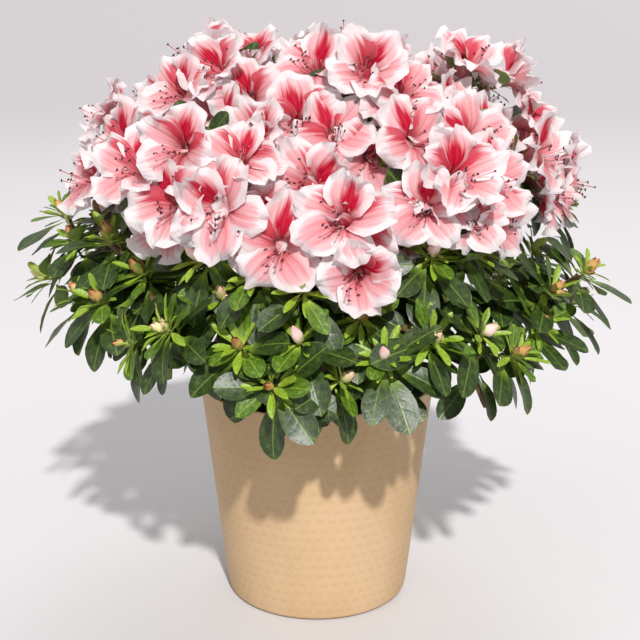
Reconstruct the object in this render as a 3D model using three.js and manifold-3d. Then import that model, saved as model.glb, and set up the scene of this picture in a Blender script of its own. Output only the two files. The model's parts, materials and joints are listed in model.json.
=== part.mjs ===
// A pot-grown azalea in full bloom: a low, bushy evergreen shrub with a dome of
// blossom over a skirt of leaves, growing in a nursery pot inside a tapered cover pot.
//
// Millimetres, +Z up. The origin is the centre of the cover pot's flat underside.
// Azimuths are degrees about +Z: 0 is +X (right), 90 is +Y (back), -90 is -Y (front).

import * as THREE from "three";
import { mergeVertices } from "three/addons/utils/BufferGeometryUtils.js";
import Module from "manifold-3d";

const wasm = await Module();
wasm.setup();

// ---------------------------------------------------------------- driving dimensions

const CLEARANCE = 0.4; // left between pieces that touch

// Cover pot: a thin-walled tapered cylinder.
const COVER_HEIGHT = 133;
const COVER_RIM_RADIUS = 70;
const COVER_BASE_RADIUS = 55;
const COVER_WALL = 2;
const COVER_FLOOR = 3;
const COVER_BASE_ROUND = 3;
const COVER_SIDES = 56;

// Nursery pot: a black plastic pot standing inside the cover pot, with a turned-out rim.
const NURSERY_RIM_DROP = 4; // its rim sits this far under the cover pot's rim
const NURSERY_RIM_RADIUS = 66;
const NURSERY_LIP_HEIGHT = 7;
const NURSERY_LIP_OVERHANG = 3;
const NURSERY_BASE_RADIUS = 49;
const NURSERY_WALL = 1.6;
const NURSERY_SIDES = 36;

// Root ball: the plug of peat that fills the nursery pot.
const SOIL_DROP = 13; // its edge is this far under the nursery pot's rim
const SOIL_DOME = 5; // and it rises this much towards the stem

// Stem and boughs.
const STEM_FOOT_RADIUS = 11;
const STEM_RADIUS = 7.5;
const STEM_HEIGHT = 26;
const STEM_LEAN = new THREE.Vector2(4, -2); // of its top, from over the pot's centre
const BOUGH_RADIUS = 5;
const SIDE_BOUGH_RADIUS = 3.4;
const BOUGH_TIP_SHARE = 0.55; // of the radius at the bough's foot
const LIMB_SIDES = 6;
const LIMB_RINGS = 6;

// How uneven a mass is: the lobes are the ends of its sprays, which stand out of it.
const MASS_DETAIL = 2;
const LOBES = 9;
const LOBE_HEIGHT = 0.16; // of the mass's radius
const LOBE_SHARPNESS = 7;

// A mass is an ellipsoid set at an azimuth, a reach from the pot's axis and a height.
// Its half sizes are [outwards, sideways, upwards].
const BLOOM_MASSES = [
  { name: "bloom_front", azimuth: -89, reach: 98, height: 238, half: [38, 47, 38] },
  { name: "bloom_front_left", azimuth: -123, reach: 97, height: 264, half: [42, 48, 42] },
  { name: "bloom_front_right", azimuth: -45, reach: 99, height: 262, half: [40, 47, 42] },
  { name: "bloom_left", azimuth: 178, reach: 101, height: 266, half: [40, 50, 44] },
  { name: "bloom_right", azimuth: 3, reach: 128, height: 264, half: [36, 43, 38] },
  { name: "bloom_back_left", azimuth: 134, reach: 98, height: 260, half: [42, 48, 42] },
  { name: "bloom_back", azimuth: 90, reach: 102, height: 252, half: [40, 50, 42] },
  { name: "bloom_back_right", azimuth: 44, reach: 104, height: 258, half: [42, 46, 42] },
  { name: "bloom_top_left", azimuth: -155, reach: 56, height: 296, half: [44, 46, 39] },
  { name: "bloom_top_right", azimuth: 4, reach: 84, height: 296, half: [40, 44, 38] },
  { name: "bloom_top", azimuth: -66, reach: 50, height: 298, half: [46, 48, 42] },
  { name: "bloom_top_back", azimuth: 92, reach: 44, height: 298, half: [44, 56, 40] },
];
const LEAF_MASSES = [
  { name: "leaf_front", azimuth: -98, reach: 95, height: 170, half: [42, 42, 39] },
  { name: "leaf_front_left", azimuth: -130, reach: 102, height: 177, half: [40, 42, 38] },
  { name: "leaf_left", azimuth: -160, reach: 107, height: 192, half: [38, 42, 36] },
  { name: "leaf_left_tip", azimuth: 176, reach: 136, height: 204, half: [36, 36, 28] },
  { name: "leaf_back_left", azimuth: 143, reach: 108, height: 184, half: [42, 50, 38] },
  { name: "leaf_back", azimuth: 104, reach: 104, height: 176, half: [42, 48, 38] },
  { name: "leaf_back_middle", azimuth: 66, reach: 104, height: 178, half: [42, 44, 38] },
  { name: "leaf_back_right", azimuth: 28, reach: 114, height: 184, half: [40, 46, 36] },
  { name: "leaf_right", azimuth: -8, reach: 124, height: 178, half: [44, 40, 36] },
  { name: "leaf_front_right", azimuth: -38, reach: 104, height: 173, half: [42, 42, 38] },
  { name: "leaf_front_middle", azimuth: -68, reach: 97, height: 172, half: [42, 40, 38] },
];

// Main boughs rise from the stem to a bloom mass each. A side bough leaves a main one at
// a share of its length, and runs to the mass that it feeds.
const MAIN_BOUGHS = ["bloom_front", "bloom_left", "bloom_back_left", "bloom_back", "bloom_right"];
const SIDE_BOUGHS = [
  { to: "bloom_front_left", from: "bloom_left", share: 0.34 },
  { to: "bloom_front_right", from: "bloom_front", share: 0.34 },
  { to: "bloom_back_right", from: "bloom_back", share: 0.34 },
  { to: "bloom_top_left", from: "bloom_back_left", share: 0.42 },
  { to: "bloom_top_right", from: "bloom_right", share: 0.42 },
  { to: "bloom_top", from: "bloom_front", share: 0.5 },
  { to: "bloom_top_back", from: "bloom_back", share: 0.48 },
  { to: "leaf_front", from: "bloom_front", share: 0.22 },
  { to: "leaf_front_left", from: "bloom_left", share: 0.2 },
  { to: "leaf_left", from: "bloom_left", share: 0.44 },
  { to: "leaf_left_tip", from: "bloom_left", share: 0.62 },
  { to: "leaf_back_left", from: "bloom_back_left", share: 0.26 },
  { to: "leaf_back", from: "bloom_back", share: 0.22 },
  { to: "leaf_back_middle", from: "bloom_back", share: 0.4 },
  { to: "leaf_back_right", from: "bloom_right", share: 0.36 },
  { to: "leaf_right", from: "bloom_right", share: 0.52 },
  { to: "leaf_front_right", from: "bloom_right", share: 0.22 },
  { to: "leaf_front_middle", from: "bloom_front", share: 0.42 },
];

// ---------------------------------------------------------------- materials

const material = (color, roughness) =>
  new THREE.MeshStandardMaterial({ color, roughness, metalness: 0 });

const TAN_CARD = material("#d8b586", 0.75);
const BLACK_PLASTIC = material("#1b1b1e", 0.5);
const PEAT = material("#2c2018", 0.95);
const BARK = material("#6b5138", 0.9);
const PINK_BLOSSOM = material("#f2a9ad", 0.7);
const GREEN_LEAVES = material("#2f5a22", 0.55);

// ---------------------------------------------------------------- solids

// A closed geometry as a manifold solid, which can be cut and joined.
function toSolid(geometry) {
  const bare = geometry.index ? geometry.toNonIndexed() : geometry.clone();
  bare.deleteAttribute("normal");
  bare.deleteAttribute("uv");
  const merged = mergeVertices(bare, 1e-3);
  return new wasm.Manifold(
    new wasm.Mesh({
      numProp: 3,
      vertProperties: new Float32Array(merged.attributes.position.array),
      triVerts: new Uint32Array(merged.index.array),
    }),
  );
}

// A manifold solid as a geometry with flat faces.
function toGeometry(solid) {
  const mesh = solid.getMesh();
  const geometry = new THREE.BufferGeometry();
  geometry.setAttribute("position", new THREE.BufferAttribute(mesh.vertProperties, 3));
  geometry.setIndex(new THREE.BufferAttribute(mesh.triVerts, 1));
  geometry.computeVertexNormals();
  return geometry;
}

// The largest of the bodies that a cut leaves.
function largestBody(solid) {
  return solid.decompose().reduce((a, b) => (b.volume() > a.volume() ? b : a));
}

const shrub = new THREE.Group();

function addPiece(name, solid, finish) {
  const mesh = new THREE.Mesh(toGeometry(solid), finish);
  mesh.name = name;
  shrub.add(mesh);
}

// A profile of [radius, height] pairs, turned about +Z. It runs up the outside.
function turned(profile, sides) {
  const points = profile.map(([radius, height]) => new THREE.Vector2(radius, height));
  return toSolid(new THREE.LatheGeometry(points, sides).rotateX(Math.PI / 2));
}

const mix = (a, b, share) => a + (b - a) * share;

// ---------------------------------------------------------------- pots and soil

// The cover pot's outer radius at a height.
const coverRadius = (z) => mix(COVER_BASE_RADIUS, COVER_RIM_RADIUS, z / COVER_HEIGHT);

function coverPot() {
  const foot = COVER_BASE_RADIUS - COVER_BASE_ROUND;
  const insideFloor = coverRadius(COVER_FLOOR) - COVER_WALL;
  const round = [0, 1, 2, 3].map((step) => {
    const angle = (step / 3) * (Math.PI / 2);
    return [
      foot + COVER_BASE_ROUND * Math.sin(angle),
      COVER_BASE_ROUND * (1 - Math.cos(angle)),
    ];
  });
  return turned(
    [
      [0, 0],
      ...round,
      [COVER_RIM_RADIUS, COVER_HEIGHT],
      [COVER_RIM_RADIUS - COVER_WALL, COVER_HEIGHT],
      [insideFloor, COVER_FLOOR],
      [0, COVER_FLOOR],
    ],
    COVER_SIDES,
  );
}

const NURSERY_TOP = COVER_HEIGHT - NURSERY_RIM_DROP;
const NURSERY_BOTTOM = COVER_FLOOR + CLEARANCE;
const NURSERY_SHOULDER_RADIUS = NURSERY_RIM_RADIUS - NURSERY_LIP_OVERHANG;

function nurseryPot() {
  const lipFoot = NURSERY_TOP - NURSERY_LIP_HEIGHT;
  const floor = NURSERY_BOTTOM + NURSERY_WALL;
  return turned(
    [
      [0, NURSERY_BOTTOM],
      [NURSERY_BASE_RADIUS, NURSERY_BOTTOM],
      [NURSERY_SHOULDER_RADIUS, lipFoot],
      [NURSERY_RIM_RADIUS, lipFoot],
      [NURSERY_RIM_RADIUS, NURSERY_TOP],
      [NURSERY_SHOULDER_RADIUS - NURSERY_WALL, NURSERY_TOP],
      [NURSERY_BASE_RADIUS - NURSERY_WALL, floor],
      [0, floor],
    ],
    NURSERY_SIDES,
  );
}

const SOIL_EDGE = NURSERY_TOP - SOIL_DROP;
const SOIL_TOP = SOIL_EDGE + SOIL_DOME;
const SOIL_FLAT_RADIUS = STEM_FOOT_RADIUS + 6; // the stem's foot stands on a level patch

function rootBall() {
  const bottom = NURSERY_BOTTOM + NURSERY_WALL + CLEARANCE;
  const wallFoot = NURSERY_BASE_RADIUS - NURSERY_WALL;
  const wallTop = NURSERY_SHOULDER_RADIUS - NURSERY_WALL;
  const share = (SOIL_EDGE - bottom) / (NURSERY_TOP - bottom);
  const edgeRadius = mix(wallFoot, wallTop, share) - 2 * CLEARANCE;
  return turned(
    [
      [0, bottom],
      [wallFoot - 2 * CLEARANCE, bottom],
      [edgeRadius, SOIL_EDGE],
      [mix(SOIL_FLAT_RADIUS, edgeRadius, 0.4), SOIL_EDGE + SOIL_DOME * 0.7],
      [SOIL_FLAT_RADIUS, SOIL_TOP],
      [0, SOIL_TOP],
    ],
    NURSERY_SIDES,
  );
}

addPiece("cover_pot", coverPot(), TAN_CARD);
addPiece("nursery_pot", nurseryPot(), BLACK_PLASTIC);
addPiece("root_ball", rootBall(), PEAT);

// ---------------------------------------------------------------- masses

// A repeatable random number from 0 to 1, by the sine of a seed.
function random(seed) {
  const x = Math.sin(seed * 12.9898 + 4.1414) * 43758.5453;
  return x - Math.floor(x);
}

function randomDirection(seed) {
  const z = 2 * random(seed) - 1;
  const turn = 2 * Math.PI * random(seed + 0.5);
  const flat = Math.sqrt(1 - z * z);
  return new THREE.Vector3(flat * Math.cos(turn), flat * Math.sin(turn), z);
}

const radians = THREE.MathUtils.degToRad;

function massCentre({ azimuth, reach, height }) {
  const turn = radians(azimuth);
  return new THREE.Vector3(reach * Math.cos(turn), reach * Math.sin(turn), height);
}

// How far a mass reaches from its centre in a direction, without its lobes.
function massReach({ azimuth, half }, direction) {
  const local = direction.clone().applyAxisAngle(new THREE.Vector3(0, 0, 1), -radians(azimuth));
  return 1 / Math.hypot(local.x / half[0], local.y / half[1], local.z / half[2]);
}

// An ellipsoid whose surface rises in lobes, grown by the clearance asked for.
function unevenMass(mass, seed, grow) {
  const lobes = Array.from({ length: LOBES }, (_, i) => randomDirection(seed * 31 + i));
  const geometry = new THREE.IcosahedronGeometry(1, MASS_DETAIL);
  const position = geometry.getAttribute("position");
  const point = new THREE.Vector3();
  for (let i = 0; i < position.count; i++) {
    point.fromBufferAttribute(position, i).normalize();
    const rise = lobes.reduce(
      (sum, lobe) => sum + Math.exp(LOBE_SHARPNESS * (point.dot(lobe) - 1)),
      0,
    );
    const radius = 1 - LOBE_HEIGHT / 2 + LOBE_HEIGHT * Math.min(rise, 1.2);
    point.set(
      point.x * (mass.half[0] * radius + grow),
      point.y * (mass.half[1] * radius + grow),
      point.z * (mass.half[2] * radius + grow),
    );
    position.setXYZ(i, point.x, point.y, point.z);
  }
  const centre = massCentre(mass);
  return toSolid(
    geometry.rotateZ(radians(mass.azimuth)).translate(centre.x, centre.y, centre.z),
  );
}

// Two masses that meet are parted by a plane, set between them by how far each reaches.
function partFromNeighbours(solid, mass, others, gap) {
  const centre = massCentre(mass);
  for (const other of others) {
    const towards = massCentre(other).sub(centre);
    const apart = towards.length();
    towards.normalize();
    const own = massReach(mass, towards);
    const theirs = massReach(other, towards);
    if (apart > (1 + LOBE_HEIGHT) * (own + theirs)) continue;
    const keep = towards.clone().negate();
    const plane = centre.clone().addScaledVector(towards, (apart * own) / (own + theirs) - gap);
    solid = solid.trimByPlane(keep.toArray(), keep.dot(plane));
  }
  return solid;
}

// The room that the pot takes, which the masses keep clear of: a cone a little outside
// its wall, up to just over its rim.
const POT_ROOM = 2;
const potRoom = turned(
  [
    [0, -1],
    [coverRadius(-1) + POT_ROOM, -1],
    [COVER_RIM_RADIUS + POT_ROOM, COVER_HEIGHT + POT_ROOM],
    [0, COVER_HEIGHT + POT_ROOM],
  ],
  COVER_SIDES / 2,
);

const MASSES = [...BLOOM_MASSES, ...LEAF_MASSES];

const masses = new Map(
  MASSES.map((mass, index) => {
    const others = MASSES.filter((other) => other !== mass);
    const build = (grow, gap) =>
      partFromNeighbours(unevenMass(mass, index + 1, grow), mass, others, gap);
    const solid = largestBody(build(0, CLEARANCE / 2).subtract(potRoom));
    // What a bough is cut with is larger by the clearance, and reaches past the planes.
    return [mass.name, { mass, solid, cutter: build(CLEARANCE, -CLEARANCE) }];
  }),
);

// ---------------------------------------------------------------- stem and boughs

// A limb along a curve, from one radius to another: a cylinder bent along the curve.
function limb(curve, footRadius, tipRadius, flare = 0) {
  const geometry = new THREE.CylinderGeometry(1, 1, 1, LIMB_SIDES, LIMB_RINGS);
  const position = geometry.getAttribute("position");
  const frames = curve.computeFrenetFrames(LIMB_RINGS, false);
  for (let i = 0; i < position.count; i++) {
    const share = position.getY(i) + 0.5;
    const ring = Math.round(share * LIMB_RINGS);
    const radius = mix(footRadius, tipRadius, share) + flare * (1 - share) ** 4;
    const point = curve.getPointAt(share);
    point.addScaledVector(frames.binormals[ring], radius * position.getX(i));
    point.addScaledVector(frames.normals[ring], radius * position.getZ(i));
    position.setXYZ(i, point.x, point.y, point.z);
  }
  const solid = toSolid(geometry);
  if (solid.volume() > 0) return solid;
  throw new Error("a limb is inside out");
}

const STEM_FOOT = new THREE.Vector3(0, 0, SOIL_TOP + CLEARANCE);
const STEM_TOP = new THREE.Vector3(STEM_LEAN.x, STEM_LEAN.y, STEM_FOOT.z + STEM_HEIGHT);

function stemCurve() {
  const half = STEM_FOOT.clone().lerp(STEM_TOP, 0.5).add(new THREE.Vector3(-1, 0, 0));
  return new THREE.CatmullRomCurve3([STEM_FOOT, half, STEM_TOP]);
}

// The foot is cut level with the soil.
const level = (solid) => solid.trimByPlane([0, 0, 1], STEM_FOOT.z);

const stemFlare = STEM_FOOT_RADIUS - STEM_RADIUS;
const stem = level(limb(stemCurve(), STEM_RADIUS, STEM_RADIUS * 0.9, stemFlare));
addPiece("main_stem", stem, BARK);

// Cuts a limb back to what shows between the limbs already grown and the mass it feeds.
const grown = [limb(stemCurve(), STEM_RADIUS + CLEARANCE, STEM_RADIUS * 0.9 + CLEARANCE, stemFlare)];
const massCutters = [...masses.values()].map(({ cutter }) => cutter);

function growLimb(name, curve, radius) {
  const tip = radius * BOUGH_TIP_SHARE;
  const whole = limb(curve, radius, tip);
  const solid = wasm.Manifold.difference([whole, ...grown, ...massCutters]);
  grown.push(limb(curve, radius + CLEARANCE, tip + CLEARANCE));
  addPiece(name, largestBody(solid), BARK);
}

// A bough rises steeply at first and then leans out to the middle of its mass.
function boughCurve(from, massName) {
  const to = massCentre(masses.get(massName).mass);
  const bend = from.clone().lerp(to, 0.45);
  bend.z += 0.12 * from.distanceTo(to);
  return new THREE.CatmullRomCurve3([from, bend, to]);
}

const mainCurves = new Map();
MAIN_BOUGHS.forEach((massName, index) => {
  const foot = STEM_TOP.clone();
  foot.z -= 3 + 1.5 * index; // one a little under the other, as shoots leave a stem
  const curve = boughCurve(foot, massName);
  mainCurves.set(massName, curve);
  growLimb(massName.replace("bloom", "bough"), curve, BOUGH_RADIUS);
});

for (const { to, from, share } of SIDE_BOUGHS) {
  const curve = boughCurve(mainCurves.get(from).getPointAt(share), to);
  growLimb("side_bough_" + to, curve, SIDE_BOUGH_RADIUS);
}

for (const [name, { solid }] of masses) {
  addPiece(name, solid, name.startsWith("bloom") ? PINK_BLOSSOM : GREEN_LEAVES);
}

export default shrub;
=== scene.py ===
# %% [markdown]
# # A potted azalea in full bloom
#
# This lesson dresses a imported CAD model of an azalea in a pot. The CAD holds the two
# pots, the soil, the stem, the boughs and one plain solid for each mass of blossom or
# of leaves. Here each of those solids gives way to what grows there on the real plant:
# twigs that fork on from the end of the bough, leaves in whorls at their tips, and the
# flowers of the dome. The CAD's places are kept, so nothing has to be fitted afterwards.

# %% The frame
import json
import math

import bmesh
import bpy
import numpy as np
from mathutils import Matrix, Vector, noise
from mathutils.bvhtree import BVHTree

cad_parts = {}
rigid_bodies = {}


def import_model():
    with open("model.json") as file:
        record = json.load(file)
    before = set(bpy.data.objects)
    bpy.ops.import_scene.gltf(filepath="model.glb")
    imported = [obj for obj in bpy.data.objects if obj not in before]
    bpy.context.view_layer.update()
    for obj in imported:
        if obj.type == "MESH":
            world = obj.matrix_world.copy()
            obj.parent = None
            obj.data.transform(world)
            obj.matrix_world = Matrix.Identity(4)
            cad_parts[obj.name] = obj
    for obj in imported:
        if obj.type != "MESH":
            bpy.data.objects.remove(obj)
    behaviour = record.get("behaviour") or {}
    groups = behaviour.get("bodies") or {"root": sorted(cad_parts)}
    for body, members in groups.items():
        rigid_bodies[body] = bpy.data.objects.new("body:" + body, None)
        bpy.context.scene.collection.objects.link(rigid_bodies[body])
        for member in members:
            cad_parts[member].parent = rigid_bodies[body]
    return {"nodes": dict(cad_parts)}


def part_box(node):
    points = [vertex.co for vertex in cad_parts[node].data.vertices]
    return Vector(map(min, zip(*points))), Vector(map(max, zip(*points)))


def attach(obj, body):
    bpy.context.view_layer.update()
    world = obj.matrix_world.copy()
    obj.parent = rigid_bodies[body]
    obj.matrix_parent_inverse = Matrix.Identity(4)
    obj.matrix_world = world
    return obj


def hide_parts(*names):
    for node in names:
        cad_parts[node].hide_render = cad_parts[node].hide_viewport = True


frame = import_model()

MM = 0.001
GOLDEN_ANGLE = math.radians(137.5)
UP = Vector((0, 0, 1))

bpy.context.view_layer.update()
pot_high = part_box("cover_pot")[1]
nodes = frame["nodes"]
bloom_nodes = sorted(name for name in nodes if name.startswith("bloom_"))
leaf_nodes = sorted(name for name in nodes if name.startswith("leaf_"))
wood_nodes = sorted(name for name in nodes if "bough" in name or name == "main_stem")
print("bloom masses", len(bloom_nodes), "leaf masses", len(leaf_nodes), "limbs", len(wood_nodes))

# %% [markdown]
# ## Camera, floor and light
#
# A 73.5 mm lens stands 750 mm in front of the pot and 378 mm above the floor, and looks
# down at it by 15.6 degrees. The floor is one wide pale disc. The light is a sun, high
# in front and a little to the right, whose soft edge throws the shadow of the leaves on
# the pot. A broad light from behind brightens the thin petals of the dome's rim, and a
# weak one from the left and a pale sky fill the rest.

# %% Camera
CAMERA_DISTANCE = 750 * MM
CAMERA_HEIGHT = 377.9 * MM
CAMERA_DIP = math.radians(15.563)

camera = bpy.data.objects.new("camera", bpy.data.cameras.new("camera"))
camera.data.lens = 73.5
camera.data.sensor_width = 36
camera.location = (1.8 * MM, -CAMERA_DISTANCE, CAMERA_HEIGHT)
camera.rotation_euler = (math.pi / 2 - CAMERA_DIP, 0, 0)
bpy.context.scene.collection.objects.link(camera)
bpy.context.scene.camera = camera
bpy.context.scene.view_settings.view_transform = "Standard"


# %% Light
def sun(name, strength, bearing, height, softness, colour):
    """A sun that shines from a bearing, in degrees from the front, and a height."""
    light = bpy.data.lights.new(name, "SUN")
    light.energy = strength
    light.angle = math.radians(softness)
    light.color = colour
    lamp = bpy.data.objects.new(name, light)
    lamp.rotation_euler = (math.radians(90 - height), 0, math.radians(bearing))
    bpy.context.scene.collection.objects.link(lamp)


sun("key sun", strength=4.0, bearing=9, height=43, softness=2.5, colour=(1, 0.985, 0.96))
sun("back light", strength=0.9, bearing=160, height=52, softness=40, colour=(1, 0.99, 0.98))
sun("side fill", strength=0.3, bearing=-50, height=45, softness=50, colour=(0.96, 0.97, 1))

sky = bpy.data.worlds.new("pale studio")
sky.use_nodes = True
sky.node_tree.nodes["Background"].inputs["Color"].default_value = (0.90, 0.88, 0.90, 1)
sky.node_tree.nodes["Background"].inputs["Strength"].default_value = 0.6
bpy.context.scene.world = sky

# %% [markdown]
# ## Writing shader maths as sums
#
# A material is a tree of nodes, and a pattern needs many small maths nodes. The class
# below wraps one socket, so that `1 - mask * 2` adds those nodes by itself. Any other
# node comes from `Finish.node`, which sets the node's settings first and then its
# sockets, from values or from links.


# %% Sockets and finishes
class Wire:
    """One output socket, which takes part in sums as a number does."""

    def __init__(self, finish, socket):
        self.finish = finish
        self.socket = socket

    def maths(self, operation, *others):
        values = dict(enumerate((self, *others)))
        return self.finish.node("ShaderNodeMath", {"operation": operation}, values)

    def __add__(self, other):
        return self.maths("ADD", other)

    def __sub__(self, other):
        return self.maths("SUBTRACT", other)

    def __rsub__(self, other):
        return self.finish.node("ShaderNodeMath", {"operation": "SUBTRACT"}, {0: other, 1: self})

    def __mul__(self, other):
        return self.maths("MULTIPLY", other)

    def __truediv__(self, other):
        return self.maths("DIVIDE", other)

    def __pow__(self, other):
        return self.maths("POWER", other)

    def __abs__(self):
        return self.maths("ABSOLUTE")

    __radd__ = __add__
    __rmul__ = __mul__

    def sine(self):
        return self.maths("SINE")

    def whole(self):
        return self.maths("FLOOR")

    def most(self, other):
        return self.maths("MAXIMUM", other)

    def ramp(self, low, high):
        """0 below low, 1 above high, and a smooth rise between them."""
        return self.finish.node(
            "ShaderNodeMapRange",
            {"interpolation_type": "SMOOTHSTEP"},
            {"Value": self, "From Min": low, "From Max": high},
        )


class Finish:
    """A material in the making, with one Principled shader."""

    def __init__(self, name, roughness, specular=0.5):
        self.material = bpy.data.materials.new(name)
        self.material.use_nodes = True
        self.tree = self.material.node_tree
        self.shader = self.tree.nodes["Principled BSDF"]
        self.shader.inputs["Roughness"].default_value = roughness
        self.shader.inputs["Specular IOR Level"].default_value = specular

    def join(self, value, socket):
        if isinstance(value, Wire):
            self.tree.links.new(value.socket, socket)
        elif isinstance(value, tuple) and len(value) == 3 and socket.type == "RGBA":
            socket.default_value = (*value, 1)
        else:
            socket.default_value = value

    def node(self, kind, settings=None, sockets=None, out=0):
        node = self.tree.nodes.new(kind)
        for name, value in (settings or {}).items():
            setattr(node, name, value)
        for name, value in (sockets or {}).items():
            self.join(value, node.inputs[name])
        return Wire(self, node.outputs[out])

    def blend(self, first, second, share):
        """The first colour where share is 0, and the second where it is 1."""
        return self.node("ShaderNodeMix", {"data_type": "RGBA"}, {0: share, 6: first, 7: second}, 2)

    def noise(self, place, scale, detail=2.0):
        sockets = {"Vector": place, "Scale": scale, "Detail": detail}
        return self.node("ShaderNodeTexNoise", None, sockets)

    def place(self, x, y, z=0.0):
        return self.node("ShaderNodeCombineXYZ", None, {"X": x, "Y": y, "Z": z})

    def object_place(self):
        return self.node("ShaderNodeTexCoord", out=3)

    def own_uv(self):
        """The piece's own map, as two wires."""
        uv = self.node("ShaderNodeUVMap", {"uv_map": OWN_MAP})
        parts = self.node("ShaderNodeSeparateXYZ", None, {0: uv})
        return parts, Wire(self, parts.socket.node.outputs[1])

    def relief(self, height, depth):
        """Raises the surface by the height's wire, which runs from 0 to 1, times a depth."""
        bump = self.node("ShaderNodeBump", None, {"Height": height, "Distance": depth})
        self.join(bump, self.shader.inputs["Normal"])

    def let_light_through(self, colour, share):
        """Mixes in a share of light that comes through from behind."""
        through = self.node("ShaderNodeBsdfTranslucent", None, {"Color": colour})
        mixed = self.node(
            "ShaderNodeMixShader", None, {0: share, 1: Wire(self, self.shader.outputs[0]), 2: through}
        )
        self.join(mixed, self.tree.nodes["Material Output"].inputs["Surface"])

    def paint(self, colour, roughness=None):
        self.join(colour, self.shader.inputs["Base Color"])
        if roughness is not None:
            self.join(roughness, self.shader.inputs["Roughness"])
        return self.material


OWN_MAP = "OFBake"


def tint(code):
    """A colour from its usual six-figure code, as the linear values that shaders take."""
    parts = [int(code[i : i + 2], 16) / 255 for i in (1, 3, 5)]
    return tuple(c / 12.92 if c <= 0.04045 else ((c + 0.055) / 1.055) ** 2.4 for c in parts)


# %% [markdown]
# ## Meshes from arrays, and spreading them over points
#
# A petal or a leaf is a grid of points bent by a formula, so arrays make it. A few
# different ones are made of each, and Geometry Nodes put them on the plant: Instance on
# Points picks a shape for each point and turns it, and Realize Instances makes one real
# mesh of them all.


# %% Grids of points
def grid(rows, columns):
    """Across from -1 to 1 and along from 0 to 1, as two arrays of rows by columns."""
    across, along = np.meshgrid(np.linspace(-1, 1, columns + 1), np.linspace(0, 1, rows + 1))
    return across, along


def grid_faces(rows, columns):
    corner = (np.arange(rows)[:, None] * (columns + 1) + np.arange(columns)).ravel()
    return np.stack([corner, corner + 1, corner + columns + 2, corner + columns + 1], 1)


def circle(sides):
    """The cosine and sine of even turns round a circle."""
    return [(math.cos(a), math.sin(a)) for a in np.linspace(0, 2 * np.pi, sides, endpoint=False)]


def tube(rings, along):
    """The wall through some rings of points. Its map runs round it, and along it as given."""
    sides = len(rings[0])
    faces, uv = [], []
    for row in range(len(rings) - 1):
        low, high = along[row], along[row + 1]
        for side in range(sides):
            first = row * sides
            after = first + (side + 1) % sides
            faces.append([first + side, after, after + sides, first + side + sides])
            left, right = side / sides, (side + 1) / sides
            uv += [(left, low), (right, low), (right, high), (left, high)]
    return [point for ring in rings for point in ring], faces, uv


def smooth(value, low, high):
    share = np.clip((value - low) / (high - low), 0, 1)
    return share * share * (3 - 2 * share)


class Shape:
    """Points, faces, and a place in the piece's own map for each corner of each face."""

    def __init__(self, points, faces, uv):
        self.points = np.asarray(points, float).reshape(-1, 3)
        self.faces = [tuple(int(i) for i in face) for face in faces]
        self.uv = np.asarray(uv, float).reshape(-1, 2)

    @staticmethod
    def joined(shapes):
        starts = np.cumsum([0] + [len(s.points) for s in shapes])
        faces = [[i + start for i in f] for s, start in zip(shapes, starts) for f in s.faces]
        points = np.concatenate([s.points for s in shapes])
        return Shape(points, faces, np.concatenate([s.uv for s in shapes]))


SHARP_ANGLE = math.radians(75)


def shape_mesh(name, shape):
    mesh = bpy.data.meshes.new(name)
    mesh.from_pydata(shape.points.tolist(), [], shape.faces)
    mesh.uv_layers.new(name=OWN_MAP).data.foreach_set("uv", shape.uv.astype(np.float32).ravel())
    mesh.shade_smooth()
    mesh.set_sharp_from_angle(angle=SHARP_ANGLE)
    return mesh


def show(name, mesh):
    """A mesh as an object of the scene."""
    piece = bpy.data.objects.new(name, mesh)
    bpy.context.scene.collection.objects.link(piece)
    return piece


def make_object(name, shape, material):
    mesh = shape_mesh(name, shape)
    mesh.materials.append(material)
    return show(name, mesh)


# %% The spreading tree
def spreading_tree():
    """Shapes from a collection on points that say each one's shape, turn and size."""
    tree = bpy.data.node_groups.new("spread shapes over points", "GeometryNodeTree")
    for name, kind in (("Points", "Geometry"), ("Shapes", "Collection"), ("Finish", "Material")):
        tree.interface.new_socket(name, in_out="INPUT", socket_type="NodeSocket" + kind)
    tree.interface.new_socket("Pieces", in_out="OUTPUT", socket_type="NodeSocketGeometry")

    def add(kind, **settings):
        node = tree.nodes.new(kind)
        for key, value in settings.items():
            setattr(node, key, value)
        return node

    def stored(name, kind):
        node = add("GeometryNodeInputNamedAttribute", data_type=kind)
        node.inputs["Name"].default_value = name
        return node.outputs["Attribute"]

    link = tree.links.new
    given = add("NodeGroupInput")
    shapes = add("GeometryNodeCollectionInfo")
    shapes.inputs["Separate Children"].default_value = True
    shapes.inputs["Reset Children"].default_value = True
    link(given.outputs["Shapes"], shapes.inputs["Collection"])
    turn = add("FunctionNodeEulerToRotation")
    link(stored("turn", "FLOAT_VECTOR"), turn.inputs[0])
    put = add("GeometryNodeInstanceOnPoints")
    put.inputs["Pick Instance"].default_value = True
    link(given.outputs["Points"], put.inputs["Points"])
    link(shapes.outputs[0], put.inputs["Instance"])
    link(stored("shape", "INT"), put.inputs["Instance Index"])
    link(turn.outputs[0], put.inputs["Rotation"])
    link(stored("size", "FLOAT"), put.inputs["Scale"])
    real = add("GeometryNodeRealizeInstances")
    link(put.outputs[0], real.inputs[0])
    finish = add("GeometryNodeSetMaterial")
    link(real.outputs[0], finish.inputs["Geometry"])
    link(given.outputs["Finish"], finish.inputs["Material"])
    link(finish.outputs[0], add("NodeGroupOutput").inputs[0])
    return tree


SPREADING = spreading_tree()


# %% Using it
class Spot:
    """Where one shape goes: its place, its turn as a matrix, its size and which shape."""

    def __init__(self, place, turn, size, shape):
        self.place = Vector(place)
        self.turn = turn.to_euler("XYZ")
        self.size = size
        self.shape = shape


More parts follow.
